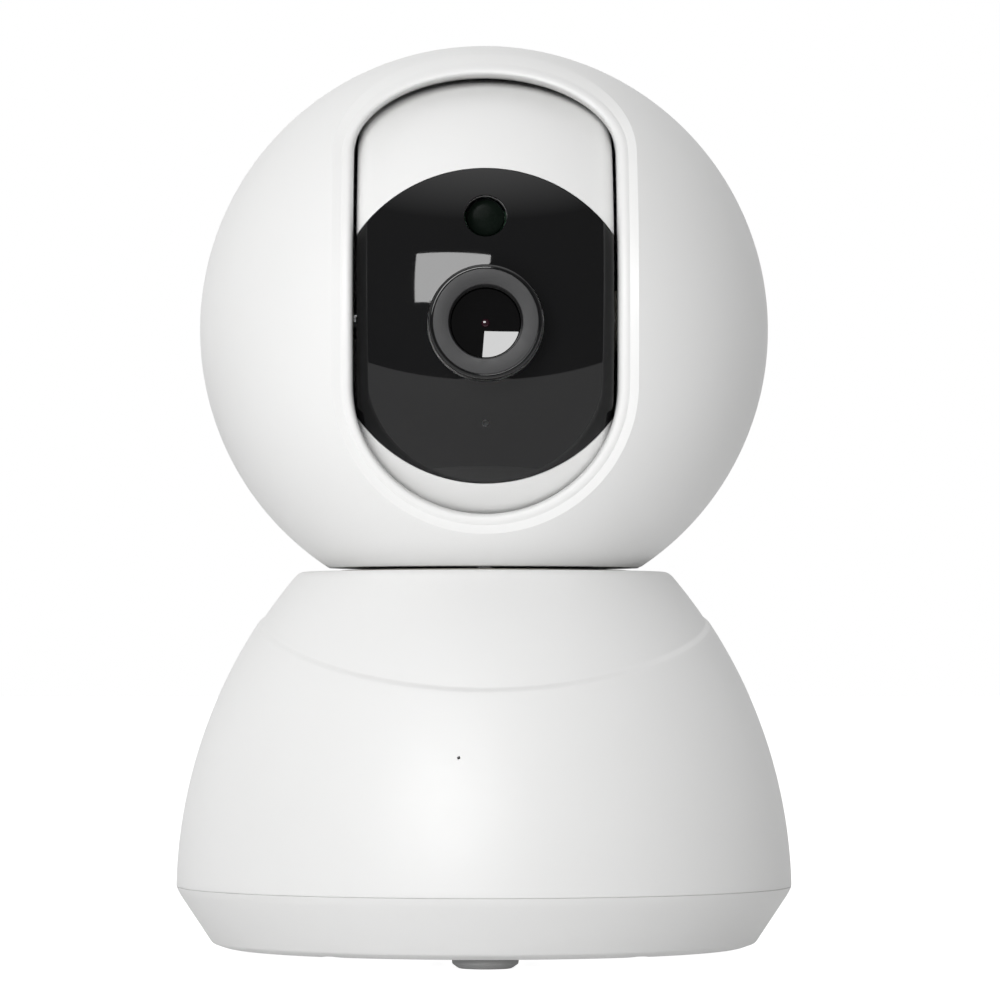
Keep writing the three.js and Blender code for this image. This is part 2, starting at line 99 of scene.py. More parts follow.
# A corner (across, along, soft) becomes a quadratic curve (1 - t)^2 start + 2 t (1 - t) corner + t^2 end,
# which starts and ends its soft length away from the corner.
def softened(corners, closed=True, steps=5):
    corners = np.array(corners, float)
    places, soft = corners[:, :2], corners[:, 2]
    t = np.linspace(0, 1, steps)[:, None]
    line = []
    for i, place in enumerate(places):
        atEnd = not closed and i in (0, len(places) - 1)
        if soft[i] <= 0 or atEnd:
            line.append(place[None])
            continue
        before = places[i - 1] - place
        after = places[(i + 1) % len(places)] - place
        start = place + before * min(soft[i] / np.linalg.norm(before), 0.48)
        end = place + after * min(soft[i] / np.linalg.norm(after), 0.48)
        line.append((1 - t) ** 2 * start + 2 * t * (1 - t) * place + t ** 2 * end)
    return np.concatenate(line)


# Where a turned profile stands: u and v lie across the axis, h along it.
def upright(x=0.0, y=0.0):
    return lambda u, v, h: (x + u, y + v, h)


def ahead(x=0.0, rise=0.0):
    return lambda u, v, h: (x + u, tiltY - h, opticsZ + rise + v)


def behind(x, z):
    return lambda u, v, h: (x - u, h, z + v)


def crosswise(u, v, h):
    return h, tiltY + u, tiltZ + v


# Radius r and height h of a profile, carried round the axis: (r cos angle, r sin angle, h).
def turned(name, profile, place, steps=96, sharpAngle=32):
    profile = np.asarray(profile, float)
    angle = np.linspace(0, 2 * np.pi, steps, endpoint=False)[:, None]
    r, h = profile[None, :, 0], profile[None, :, 1]
    spots = np.broadcast_arrays(*place(r * np.cos(angle), r * np.sin(angle), h + 0 * angle))
    ring = profile[0, 0] > 0 and profile[-1, 0] > 0
    return meshObject(name, np.stack(spots, -1), gridFaces(steps, len(profile), True, ring), sharpAngle)


def rodTool(place, radius, low, high, steps=48):
    return turned("tool", [(0, low), (radius, low), (radius, high), (0, high)], place, steps)


# A rounded rectangle across an axis, drawn out from near to far along it.
def slotTool(place, halfWidth, halfHeight, corner, near, far, steps=8):
    quarter = np.linspace(0, np.pi / 2, steps)
    turns = np.concatenate([quarter + k * np.pi / 2 for k in range(4)])
    side = np.repeat([[1, 1], [-1, 1], [-1, -1], [1, -1]], steps, axis=0)
    u = side[:, 0] * (halfWidth - corner) + corner * np.cos(turns)
    v = side[:, 1] * (halfHeight - corner) + corner * np.sin(turns)
    share = np.array([0, 1, 1, 0])[:, None]
    depth = np.array([near, near, far, far])[:, None]
    spots = np.broadcast_arrays(*place(share * u, share * v, depth + 0 * u))
    return meshObject("tool", np.stack(spots, -1), gridFaces(4, len(turns), False, True))


# Takes every tool out of the piece, or keeps only what lies in them, and bakes the result into its mesh.
def carve(piece, tools, operation="DIFFERENCE", sharpAngle=32):
    for tool in tools:
        modifier = piece.modifiers.new("carve", "BOOLEAN")
        modifier.operation = operation
        modifier.solver = "EXACT"
        modifier.object = tool
    baked = bpy.data.meshes.new_from_object(piece.evaluated_get(bpy.context.evaluated_depsgraph_get()))
    piece.modifiers.clear()
    piece.data = baked
    smooth(baked, sharpAngle)
    for tool in tools:
        bpy.data.objects.remove(tool)
    return piece


def shaderFor(name, color, roughness, **sockets):
    material = bpy.data.materials.new(name)
    material.use_nodes = True
    shader = material.node_tree.nodes["Principled BSDF"]
    shader.inputs["Base Color"].default_value = (*color, 1)
    shader.inputs["Roughness"].default_value = roughness
    for socket, value in sockets.items():
        shader.inputs[socket.replace("_", " ")].default_value = value
    return material, material.node_tree, shader


def objectPlace(tree, centre=(0, 0, 0), scale=(1, 1, 1)):
    coordinate = tree.nodes.new("ShaderNodeTexCoord")
    mapping = tree.nodes.new("ShaderNodeMapping")
    mapping.inputs["Location"].default_value = [-c * mm * s for c, s in zip(centre, scale)]
    mapping.inputs["Scale"].default_value = scale
    tree.links.new(coordinate.outputs["Object"], mapping.inputs["Vector"])
    return mapping.outputs["Vector"]


def noiseOn(tree, vector, scale, detail=3.0, rough=0.5):
    noise = tree.nodes.new("ShaderNodeTexNoise")
    noise.inputs["Scale"].default_value = scale
    noise.inputs["Detail"].default_value = detail
    noise.inputs["Roughness"].default_value = rough
    tree.links.new(vector, noise.inputs["Vector"])
    return noise.outputs["Fac"]


def spread(tree, value, low, high, fromLow=0.3, fromHigh=0.7):
    node = tree.nodes.new("ShaderNodeMapRange")
    node.inputs["From Min"].default_value = fromLow
    node.inputs["From Max"].default_value = fromHigh
    node.inputs["To Min"].default_value = low
    node.inputs["To Max"].default_value = high
    tree.links.new(value, node.inputs["Value"])
    return node.outputs["Result"]


def blendColors(tree, value, first, second):
    node = tree.nodes.new("ShaderNodeMix")
    node.data_type = "RGBA"
    node.inputs[6].default_value = (*first, 1)
    node.inputs[7].default_value = (*second, 1)
    tree.links.new(value, node.inputs[0])
    return node.outputs[2]


def bumpFrom(tree, shader, height, strength, distance):
    bump = tree.nodes.new("ShaderNodeBump")
    bump.inputs["Strength"].default_value = strength
    bump.inputs["Distance"].default_value = distance * mm
    tree.links.new(height, bump.inputs["Height"])
    tree.links.new(bump.outputs["Normal"], shader.inputs["Normal"])


# Spark-eroded moulded plastic: a fine even grain, and broad faint clouds in gloss and tone.
def grainPlastic(name, light, dark, roughLow, roughHigh, grain=5200, depth=0.012, **sockets):
    material, tree, shader = shaderFor(name, light, roughLow, **sockets)
    place = objectPlace(tree)
    clouds = noiseOn(tree, place, 34, 2.0)
    tree.links.new(blendColors(tree, spread(tree, clouds, 0, 1), light, dark), shader.inputs["Base Color"])
    fine = noiseOn(tree, place, grain, 2.0, 0.6)
    gloss = spread(tree, noiseOn(tree, place, 420, 4.0), roughLow, roughHigh)
    tree.links.new(gloss, shader.inputs["Roughness"])
    bumpFrom(tree, shader, fine, 0.35, depth)
    return material


# Polished black plastic: wiped smears in its gloss, and faint clouds in its tone.
def polishedBlack(dark=(0.0072, 0.0073, 0.0078), light=(0.0086, 0.0086, 0.0088)):
    material, tree, shader = shaderFor("windowBlack", dark, 0.03, IOR=1.49)
    place = objectPlace(tree)
    smears = noiseOn(tree, place, 90, 5.0, 0.65)
    tree.links.new(spread(tree, smears, 0.022, 0.05), shader.inputs["Roughness"])
    clouds = spread(tree, noiseOn(tree, place, 60, 2.0), 0, 1)
    tree.links.new(blendColors(tree, clouds, dark, light), shader.inputs["Base Color"])
    return material


# Turned satin finish: fine rings about the lens axis.
def turnedFinish(name, color, roughness):
    material, tree, shader = shaderFor(name, color, roughness)
    place = objectPlace(tree, centre=(0, tiltY, opticsZ))
    wave = tree.nodes.new("ShaderNodeTexWave")
    wave.wave_type = "RINGS"
    wave.rings_direction = "Y"
    wave.inputs["Scale"].default_value = 900
    wave.inputs["Distortion"].default_value = 0.4
    tree.links.new(place, wave.inputs["Vector"])
    bumpFrom(tree, shader, wave.outputs["Fac"], 0.12, 0.01)
    worn = noiseOn(tree, place, 700, 4.0)
    tree.links.new(spread(tree, worn, roughness - 0.05, roughness + 0.08), shader.inputs["Roughness"])
    lighter = tuple(min(1, c * 1.18) for c in color)
    tree.links.new(blendColors(tree, spread(tree, worn, 0, 1), color, lighter), shader.inputs["Base Color"])
    return material


# Coated lens glass over a blackened barrel: nearly black and very smooth, with a little dust in its gloss.
def coatedGlass(name, color, ior):
    material, tree, shader = shaderFor(name, color, 0.01, IOR=ior)
    dust = noiseOn(tree, objectPlace(tree), 1500, 4.0)
    tree.links.new(spread(tree, dust, 0.0, 0.03, 0.55, 0.8), shader.inputs["Roughness"])
    deeper = tuple(c * 0.6 for c in color)
    tree.links.new(blendColors(tree, spread(tree, dust, 0, 1), color, deeper), shader.inputs["Base Color"])
    return material


# Metal drawn or ground along X: noise stretched that way marks gloss and relief.
def groundMetal(name, color, roughness, stretch=(60, 900, 900)):
    material, tree, shader = shaderFor(name, color, roughness, Metallic=1.0)
    lines = noiseOn(tree, objectPlace(tree, scale=stretch), 2.0, 4.0)
    tree.links.new(spread(tree, lines, roughness - 0.08, roughness + 0.12), shader.inputs["Roughness"])
    darker = tuple(c * 0.82 for c in color)
    tree.links.new(blendColors(tree, spread(tree, lines, 0, 1), color, darker), shader.inputs["Base Color"])
    bumpFrom(tree, shader, lines, 0.2, 0.01)
    return material


# Green solder mask over copper: squared cells stand for the tracks under the lacquer.
def solderMask(lacquer=(0.012, 0.13, 0.045)):
    material, tree, shader = shaderFor("circuitGreen", lacquer, 0.3)
    place = objectPlace(tree)
    tracks = tree.nodes.new("ShaderNodeTexBrick")
    tracks.inputs["Scale"].default_value = 420
    tracks.inputs["Color1"].default_value = (*lacquer, 1)
    tracks.inputs["Color2"].default_value = (0.014, 0.155, 0.055, 1)
    tracks.inputs["Mortar"].default_value = (0.03, 0.22, 0.09, 1)
    tree.links.new(place, tracks.inputs["Vector"])
    tree.links.new(tracks.outputs["Color"], shader.inputs["Base Color"])
    tree.links.new(spread(tree, noiseOn(tree, place, 300), 0.25, 0.4), shader.inputs["Roughness"])
    bumpFrom(tree, shader, tracks.outputs["Fac"], 0.3, 0.02)
    return material


finishes = {
    "white_shell": grainPlastic("shellWhite", (0.86, 0.86, 0.855), (0.845, 0.845, 0.838), 0.4, 0.47,
                                IOR=1.46),
    "foot_rubber": grainPlastic("footRubber", (0.38, 0.38, 0.38), (0.32, 0.32, 0.32), 0.72, 0.85,
                                grain=2600, depth=0.04),
    "inner_plastic": grainPlastic("innerBlack", (0.02, 0.02, 0.021), (0.014, 0.014, 0.015), 0.5, 0.62),
    "acetal": grainPlastic("acetalCream", (0.78, 0.75, 0.66), (0.74, 0.71, 0.62), 0.35, 0.45),
    "window_black": polishedBlack(),
    "ring_grey": turnedFinish("ringGrey", (0.026, 0.026, 0.027), 0.45),
    "lens_glass": coatedGlass("lensGlass", (0.0018, 0.0017, 0.002), 1.72),
    "circuit_board": solderMask(),
    "brass": groundMetal("insertBrass", (0.72, 0.5, 0.2), 0.3, (500, 500, 500)),
    "steel": groundMetal("partSteel", (0.62, 0.62, 0.64), 0.3),
}
slotOf = {row["node"]: row["material_slot"] for row in frame["record"]["subparts"]}
for nodeName, node in frame["nodes"].items():
    node.data.materials.clear()
    node.data.materials.append(finishes[slotOf[nodeName]])
print("materials made:", len(finishes))


def settle(piece, body, slot, *nodes, material=None):
    piece.data.materials.clear()
    piece.data.materials.append(material or finishes[slot])
    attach(piece, body)
    if nodes:
        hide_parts(*nodes)
    return piece


domeShape = {
    "arc": 64.6,            # the side is one arc, upright at arcHeight
    "arcHeight": 7.9,
    "wall": 2.1,
    "rearWall": 4.4,        # thicker behind the inlet pocket
    "neckHole": 19.3,
    # the crease's height, and how it falls with the distance forward and that distance squared
    "crease": (44.0, -0.15, -0.0034),
    "creaseDepth": (0.2, 0.44),   # at the back and at the front
    "creaseWidth": 1.1,
    "topEdge": 0.8,
    "topTurn": 0.011,       # the rounding of the top edge takes this much of the arc, in radians
    "seam": 9.2,            # its lower edge
    "foot": 0.14,           # rounding of that edge
    "columns": 288,
    "rearTop": (26, 5),     # the thick part of the wall ends here, over this height
    "rearSpread": 0.5,      # and it reaches this far round the back, in radians
    "pocket": (15.6, 11.5, 4, 1.2, 37),     # height, half width, half height, corner, and its flat floor
    "inletHole": (14.5, 4.8, 2, 1.0),       # height, half width, half height, corner
    "buttonHole": (8.5, 15.5, 1.7),         # across, height, radius
    "pinhole": (-3.35, 26.5, 0.2),
}


# The side is base radius - arc + arc cos(a) wide at arcHeight + arc sin(a). Above the crease it lies
# creaseDepth inside that arc, and the rows on both sides of the crease follow it round the dome.
def makeDome(s):
    theta = np.linspace(0, 2 * np.pi, s["columns"], endpoint=False)[None, :]
    centreR = domeHigh[0] - s["arc"]
    low, top = s["seam"], domeHigh[2]
    angleAt = lambda z: np.arcsin((z - s["arcHeight"]) / s["arc"])
    height, slope, bend = s["crease"]
    creaseZ = np.full_like(theta, height)
    for _ in range(6):
        forward = -(centreR + s["arc"] * np.cos(angleAt(creaseZ))) * np.sin(theta)
        creaseZ = height + slope * forward + bend * forward ** 2
    half = s["creaseWidth"] / 2 / s["arc"]
    creaseA = angleAt(creaseZ)
    startA, topA = angleAt(low + s["foot"]), angleAt(top)
    t = np.linspace(0, 1, 64)[:, None]
    lower = startA + (creaseA - half - startA) * t
    t = np.linspace(0, 1, 14)[1:-1, None]
    step = creaseA - half + 2 * half * t
    t = np.linspace(0, 1, 40)[:, None]
    upper = creaseA + half + (topA - s["topTurn"] - creaseA - half) * t
    a = np.concatenate([lower, step, upper])
    rise = np.clip((a - creaseA + half) / (2 * half), 0, 1)
    facing = np.clip(0.5 - 0.5 * np.sin(theta), 0, 1) ** 2
    creaseDepth = s["creaseDepth"][0] + (s["creaseDepth"][1] - s["creaseDepth"][0]) * facing
    radius = s["arc"] - creaseDepth * rise ** 2 * (3 - 2 * rise)
    sideR, sideZ = centreR + radius * np.cos(a), s["arcHeight"] + radius * np.sin(a)
    # rounded top edge, then the flat top in to the neck hole
    last = np.stack([sideR[-1], sideZ[-1]])
    slopeDown = np.stack([np.sin(a[-1]), -np.cos(a[-1])])
    corner = last - slopeDown * (last[1] - top) / slopeDown[1]
    inner = corner - np.array([[s["topEdge"]], [0]])
    t = np.linspace(0, 1, 8)[1:, None, None]
    edge = (1 - t) ** 2 * last + 2 * t * (1 - t) * corner + t ** 2 * inner
    neck = s["neckHole"]
    rim = softened([(inner[0].mean(), top, 0), (neck, top, 0.3), (neck, top - 2, 0.3)], False)[1:]
    # back down the inside of the wall
    insideA = np.linspace(angleAt(top - 2), angleAt(low), 30)[:, None] + 0 * theta
    insideZ = s["arcHeight"] + s["arc"] * np.sin(insideA)
    atBack = np.exp(-(((theta - np.pi / 2) / s["rearSpread"]) ** 4))
    rear = atBack * np.clip((s["rearTop"][0] - insideZ) / s["rearTop"][1], 0, 1)
    inset = s["wall"] + (s["rearWall"] - s["wall"]) * rear
    insideR = centreR + s["arc"] * np.cos(insideA) - inset
    footR = centreR + s["arc"] * np.cos(angleAt(low)) - np.array([[s["foot"]], [s["foot"] * 0.3]])
    footZ = low + np.array([[0], [s["foot"] * 0.3]])
    wide = lambda column: column + 0 * theta
    r = np.concatenate([wide(footR), sideR, edge[:, 0], wide(rim[:, :1]), insideR])
    z = np.concatenate([wide(footZ), sideZ, edge[:, 1], wide(rim[:, 1:]), insideZ])
    points = np.stack([r * np.cos(theta), r * np.sin(theta), z], -1)
    dome = meshObject("baseDome", points, gridFaces(len(r), s["columns"], True, True))
    pocket = slotTool(behind(0, s["pocket"][0]), *s["pocket"][1:], 45)
    inlet = slotTool(behind(0, s["inletHole"][0]), *s["inletHole"][1:], 30, 40)
    button = rodTool(behind(*s["buttonHole"][:2]), s["buttonHole"][2], 30, 40, 32)
    pinhole = rodTool(behind(*s["pinhole"][:2]), s["pinhole"][2], -45, -30, 24)
    return carve(dome, [pocket, inlet, button, pinhole])


dome = settle(makeDome(domeShape), "base", "white_shell", "base_dome")
print("base dome made:", len(dome.data.polygons), "faces")


coverShape = {
    "outside": [(33.6, 1.3, 0.5), (35.3, 1.9, 0.35), (39.55, 8.3, 0.5), (39.95, 9.18, 0.06)],
    "inside": [(37.8, 9.18, 0.2), (37.2, 8.0, 0.3), (33.6, 3.3, 0.4), (8, 3.3, 0.3), (8, 10.2, 0.2)],
    "hole": 5.8,
    "collarTop": 10.2,
    "footPocket": (4.5, 2.1),      # radius, and the height of its floor
    "screwPocket": (2.5, 2.2),
    "screwBore": 1.35,
    "slots": (-6, -2, 2, 6),       # sound slots under the speaker
    "slotsAt": -18,
    "slotSize": (0.7, 6, 0.68),    # half width, half length, corner
}


def middleOf(node):
    low, high = boxOf(node)
    return (low + high) / 2


feet = ["foot_front", "foot_rear_left", "foot_rear_right"]
coverScrews = ["cover_screw_1", "cover_screw_2", "cover_screw_3", "cover_screw_4"]


# A closed profile turned about the pan axis, with pockets for the feet and screws, and rounded sound slots.
def makeCover(s):
    low = coverLow[2]
    bore = [(s["hole"], low, 0.3), (s["hole"], s["collarTop"], 0.2)]
    profile = softened([bore[0], *s["outside"], *s["inside"], bore[1]])
    cover = turned("baseCover", profile, upright(), 288)
    tools = []
    for foot in feet:
        place = upright(*middleOf(foot)[:2])
        tools.append(rodTool(place, s["footPocket"][0], 0, s["footPocket"][1], 64))
    for screw in coverScrews:
        place = upright(*middleOf(screw)[:2])
        tools.append(rodTool(place, s["screwPocket"][0], 0, s["screwPocket"][1]))
        tools.append(rodTool(place, s["screwBore"], 0, 5, 24))
    for x in s["slots"]:
        tools.append(slotTool(upright(x, s["slotsAt"]), *s["slotSize"], 0, 5))
    return carve(cover, tools)


settle(makeCover(coverShape), "base", "white_shell", "base_bottom_cover")

# Each foot is a dished rubber disc with a moulded ring round its tread.
footTread = [(0, 0.3, 0), (2.1, 0.3, 0.2), (2.4, 0, 0.15), (3.3, 0, 0.3), (4.15, 0.6, 0.15), (4.25, 1.8, 0.1),
             (0, 1.8, 0)]
for number, foot in enumerate(feet, 1):
    disc = turned("foot" + str(number), softened(footTread, False), upright(*middleOf(foot)[:2]), 96)
    settle(disc, "base", "foot_rubber", foot)


screwShape = {
    # radius, height and softness of each corner, from the head to the tip
    "profile": [(0, 1.6, 0), (2.2, 1.6, 0.12), (2.2, 1.85, 0.05), (1.1, 1.85, 0.1), (1.1, 12, 0.3),
                (0, 12, 0)],
    "recess": (0.95, 0.2),      # long and short half width of one arm of the cross
    "recessSpan": (1, 2.7),
}


# A turned screw with a cross recess. Only its head shows.
def makeScrew(name, node, s):
    place = upright(*middleOf(node)[:2])
    long, short = s["recess"]
    arms = [slotTool(place, *arm, 0.1, *s["recessSpan"]) for arm in ((long, short), (short, long))]
    return carve(turned(name, softened(s["profile"], False), place, 64), arms)


for number, node in enumerate(coverScrews, 1):
    settle(makeScrew("coverScrew" + str(number), node, screwShape), "base", "steel", node)

insertShape = {
    "bore": 3.2,
    "mouth": 3.55,
    "outer": 5.5,
    "low": 1.7,
    "top": 9.9,
    "threadTop": 8.6,
    "pitch": 1.27,
    "depth": 0.35,
}


# Bore radius plus depth times a triangle wave of (height / pitch - turns): it climbs one pitch a turn.
def makeInsert(s):
    steps = 96
    theta = np.linspace(0, 2 * np.pi, steps, endpoint=False)[:, None]
    h = np.linspace(s["low"] + 0.3, s["threadTop"], 110)[None, :]
    phase = (h / s["pitch"] - theta / (2 * np.pi)) % 1
    fade = np.clip((h - h[0, 0]) / 0.5, 0, 1) * np.clip((h[0, -1] - h) / 0.5, 0, 1)
    bore = s["bore"] + s["depth"] * (1 - np.abs(2 * phase - 1)) * fade
    rim = softened([(s["outer"] - 0.9, s["low"], 0), (s["outer"], s["low"], 0.3), (s["outer"], s["top"], 0.3),
                    (0, s["top"], 0)], False)
    around = 0 * theta
    r = np.concatenate([around, bore[:, ::-1], s["mouth"] + around, rim[None, :, 0] + around], 1)
    z = np.concatenate([s["threadTop"] + around, h[:, ::-1] + around, s["low"] + around,
                        rim[None, :, 1] + around], 1)
    points = np.stack([r * np.cos(theta), r * np.sin(theta), z], -1)
    return meshObject("standInsert", points, gridFaces(steps, r.shape[1], True, False), 25)


settle(makeInsert(insertShape), "base", "brass", "tripod_insert")

# radius, distance behind the pan axis, and softness of each corner; its pressed face is dished
buttonProfile = [(0, 32.7, 0), (2.2, 32.7, 0.2), (2.2, 34.2, 0.2), (1.4, 34.2, 0.1), (1.4, 37.35, 0.3),
                 (0.9, 37.4, 0.3), (0, 37.1, 0)]
buttonPlace = behind(middleOf("reset_button")[0], middleOf("reset_button")[2])
button = turned("resetButton", softened(buttonProfile, False), buttonPlace, 64)
settle(button, "reset_button", "white_shell", "reset_button")

# half width, half height, corner, then how far behind the pan axis it starts and ends
inletShape = {
    "shell": (4.4, 1.6, 1.5, 25.5, 36.6),
    "mouth": (3.9, 1.12, 1.05, 31, 45),
    "tongue": (3.0, 0.34, 0.2, 30.8, 35.8),
}
inletPlace = behind(0, domeShape["inletHole"][0])
inletShell = slotTool(inletPlace, *inletShape["shell"], 12)
inletShell.name = "inletShell"
inletMouth = slotTool(inletPlace, *inletShape["mouth"], 12)
settle(carve(inletShell, [inletMouth]), "base", "steel", "power_inlet")
inletTongue = slotTool(inletPlace, *inletShape["tongue"], 6)
inletTongue.name = "inletTongue"
settle(inletTongue, "base", "inner_plastic")
print("base made")


headShape = {
    "radius": 37,
    "wall": 2,
    "floorTop": 53,
    "split": 4,              # the two shells meet at this distance behind the pan axis
    "splitGap": 0.06,
    "neck": 15.5,
    "edge": 0.35,
    "slotHalfWidth": 16.65,
    "slotTop": 113.4,
    "topArch": 10.6,
    "slotBottom": 57,
    "bottomArch": 16,
    "lipDrop": (2.35, 0.72),   # at the slot's edge and where its rounding ends
    "lipRound": 1.45,
    "lipWidth": (2.55, 3.1),  # at the sides and bottom, and at the top
    "flange": 1.2,
    "flangeDepth": 5,
    "drumRoom": 0.5,
    "columns": 432,
}
headCentre = headHigh[2] - headShape["radius"]
headFloor = headLow[2]


def unit(vectors):
    return vectors / np.linalg.norm(vectors, axis=-1, keepdims=True)


# Points on the great circle from one direction to another, t of the way along it, at a radius from the head's
# centre: (sin((1 - t) angle) a + sin(t angle) b) / sin(angle).
def overSphere(start, end, t, radius):
    a, b = unit(start - [0, 0, headCentre]), unit(end - [0, 0, headCentre])
    angle = np.arccos(np.clip(np.sum(a * b, -1, keepdims=True), -1, 1))
    angle = np.maximum(angle, 1e-5)
    t = np.asarray(t)[:, None, None]
    way = (np.sin((1 - t) * angle) * a + np.sin(t * angle) * b) / np.sin(angle)
    return radius * way + [0, 0, headCentre]


# Half an ellipse above and below straight sides, walked anticlockwise at even steps, with its outward
# direction.
def slotEdge(s):
    t = np.linspace(0, np.pi, 400)
    a, topZ, bottomZ = s["slotHalfWidth"], s["slotTop"] - s["topArch"], s["slotBottom"] + s["bottomArch"]
    upper = np.stack([a * np.cos(t), topZ + s["topArch"] * np.sin(t)], -1)
    lower = np.stack([-a * np.cos(t), bottomZ - s["bottomArch"] * np.sin(t)], -1)
    loop = np.concatenate([lower[200:], upper, lower[:201]])
    length = np.concatenate([[0], np.cumsum(np.linalg.norm(np.diff(loop, axis=0), axis=1))])
    even = np.linspace(0, length[-1], s["columns"], endpoint=False)
    edge = np.stack([np.interp(even, length, loop[:, 0]), np.interp(even, length, loop[:, 1])], -1)
    along = unit(np.roll(edge, -1, axis=0) - np.roll(edge, 1, axis=0))
    return edge, np.stack([along[:, 1], -along[:, 0]], -1)


def ballY(x, z, radius):
    return -np.sqrt(np.maximum(radius ** 2 - x ** 2 - (z - headCentre) ** 2, 0))


# Where a shell ends: on the splitting plane, or on a circle in the floor where turn, measured from straight
# down, is less than the corner's. front is -1 for the front shell and 1 for the rear one.
def shellEnd(s, turn, front, ballRadius, floorRadius, floorZ):
    planeY = s["split"] + front * s["splitGap"]
    ring = math.sqrt(ballRadius ** 2 - planeY ** 2)
    onPlane = np.stack([ring * np.sin(turn), planeY + 0 * turn, headCentre - ring * np.cos(turn)], -1)
    halfTurn = math.pi / 2 - front * math.asin(planeY / floorRadius)
    azimuth = turn / cornerTurn(s, front) * halfTurn
    onFloor = np.stack([floorRadius * np.sin(azimuth), front * floorRadius * np.cos(azimuth),
                        floorZ + 0 * turn], -1)
    return np.where((np.abs(turn) <= cornerTurn(s, front) + 1e-9)[:, None], onFloor, onPlane)


def cornerTurn(s, front):
    planeY = s["split"] + front * s["splitGap"]
    half = math.sqrt(s["radius"] ** 2 - planeY ** 2 - (headCentre - headFloor) ** 2)
    return math.atan2(half, headCentre - headFloor)


def snapped(turn, corner):
    turn = turn.copy()
    turn[np.argmin(np.abs(turn - corner))] = corner
    turn[np.argmin(np.abs(turn + corner))] = -corner
    return turn


# The rows that both shells share: out over the ball, round the edge, across the wall or the floor, and back
# inside.
def shellRows(s, turn, front, outerStart, innerStart):
    floor = headFloor
    floorRadius = math.sqrt(s["radius"] ** 2 - (headCentre - floor) ** 2)
    end = shellEnd(s, turn, front, s["radius"], floorRadius, floor)
    inner = s["radius"] - s["wall"]
    innerFloor = math.sqrt(inner ** 2 - (headCentre - s["floorTop"]) ** 2)
    loops = [shellEnd(s, turn, front, inner, radius, z)
             for radius, z in ((s["neck"], floor), (s["neck"], floor + 0.7), (18, s["floorTop"]),
                               (innerFloor, s["floorTop"]))]
    skin = overSphere(outerStart, end, np.linspace(0, 1, 40)[1:-1], s["radius"])
    skin[..., 2] = np.maximum(skin[..., 2], floor)
    before = end + unit(skin[-1] - end) * s["edge"]
    after = end + unit(loops[0] - end) * s["edge"]
    t = np.linspace(0, 1, 6)[:, None, None]
    edge = (1 - t) ** 2 * before + 2 * t * (1 - t) * end + t ** 2 * after
    inside = overSphere(loops[-1], innerStart, np.linspace(0, 1, 14)[1:], inner)
    inside[:-1, :, 2] = np.maximum(inside[:-1, :, 2], s["floorTop"])
    return [skin, edge, np.stack(loops), inside]


# The lip rolls over from the slot's edge: across by round (1 - cos t), up from the first drop to the second
# by sin t, and then it rises evenly to the ball at a crease. A flange behind its edge goes back as far as the
# drum leaves room.
def makeHeadFront(s):
    edge, outward = slotEdge(s)
    blend = np.clip(outward[:, 1], 0, 1) ** 2
    width = (s["lipWidth"][0] + (s["lipWidth"][1] - s["lipWidth"][0]) * blend)[None, :]
    t = np.linspace(0, np.pi / 2, 12)[:, None]
    across = np.concatenate([s["lipRound"] * (1 - np.cos(t)) + 0 * width,
                             s["lipRound"] + (width - s["lipRound"]) * np.linspace(0, 1, 8)[1:, None]])
    first, second = s["lipDrop"]
    share = (across[12:] - s["lipRound"]) / (width - s["lipRound"])
    drop = np.concatenate([first - (first - second) * np.sin(t) + 0 * width, second * (1 - share)])
    x = edge[:, 0] + across * outward[:, 0]
    z = edge[:, 1] + across * outward[:, 1]
    ball = ballY(x, z, s["radius"])
    lip = np.stack([x, ball + drop / np.sqrt(np.abs(ball) / s["radius"]), z], -1)
    turn = snapped(np.arctan2(lip[-1, :, 0], headCentre - lip[-1, :, 2]), cornerTurn(s, -1))
    rimX = edge[:, 0] + s["flange"] * outward[:, 0]
    rimZ = edge[:, 1] + s["flange"] * outward[:, 1]
    inner = s["radius"] - s["wall"]
    rim = np.stack([rimX, ballY(rimX, rimZ, inner), rimZ], -1)
    # the drum's reach at this distance from its middle, and no limit beside it
    drumEnd = drumShape["halfWidth"]
    reach = drumRadiusAt(np.minimum(np.abs(edge[:, 0]), drumEnd)) + s["drumRoom"]
    limit = tiltY - np.sqrt(np.maximum(reach ** 2 - (edge[:, 1] - tiltZ) ** 2, 0))
    beside = np.clip((np.abs(edge[:, 0]) - drumEnd) / (s["slotHalfWidth"] - drumEnd), 0, 1)
    full = lip[0, :, 1] + s["flangeDepth"]
    deep = np.maximum(np.minimum(full, limit) * (1 - beside) + full * beside, lip[0, :, 1] + 0.4)
    deepRim = np.stack([rimX, np.maximum(deep, rim[:, 1] + 0.05), rimZ], -1)
    deepEdge = np.stack([edge[:, 0], deep, edge[:, 1]], -1)
    rows = np.concatenate([lip, *shellRows(s, turn, -1, lip[-1], rim), deepRim[None], deepEdge[None]])
    return meshObject("headFront", rows, gridFaces(len(rows), s["columns"], True, True), 13)


# Rows run from the middle of the back to the shell's end and return inside.
def makeHeadRear(s):
    turn = snapped(np.linspace(-np.pi, np.pi, 288, endpoint=False), cornerTurn(s, 1))
    pole = np.zeros((len(turn), 3)) + [0, s["radius"], headCentre]
    innerPole = pole - [0, s["wall"], 0]
    rows = np.concatenate([pole[None], *shellRows(s, turn, 1, pole, innerPole)])
    return meshObject("headRear", rows, gridFaces(len(rows), len(turn), False, True), 30)


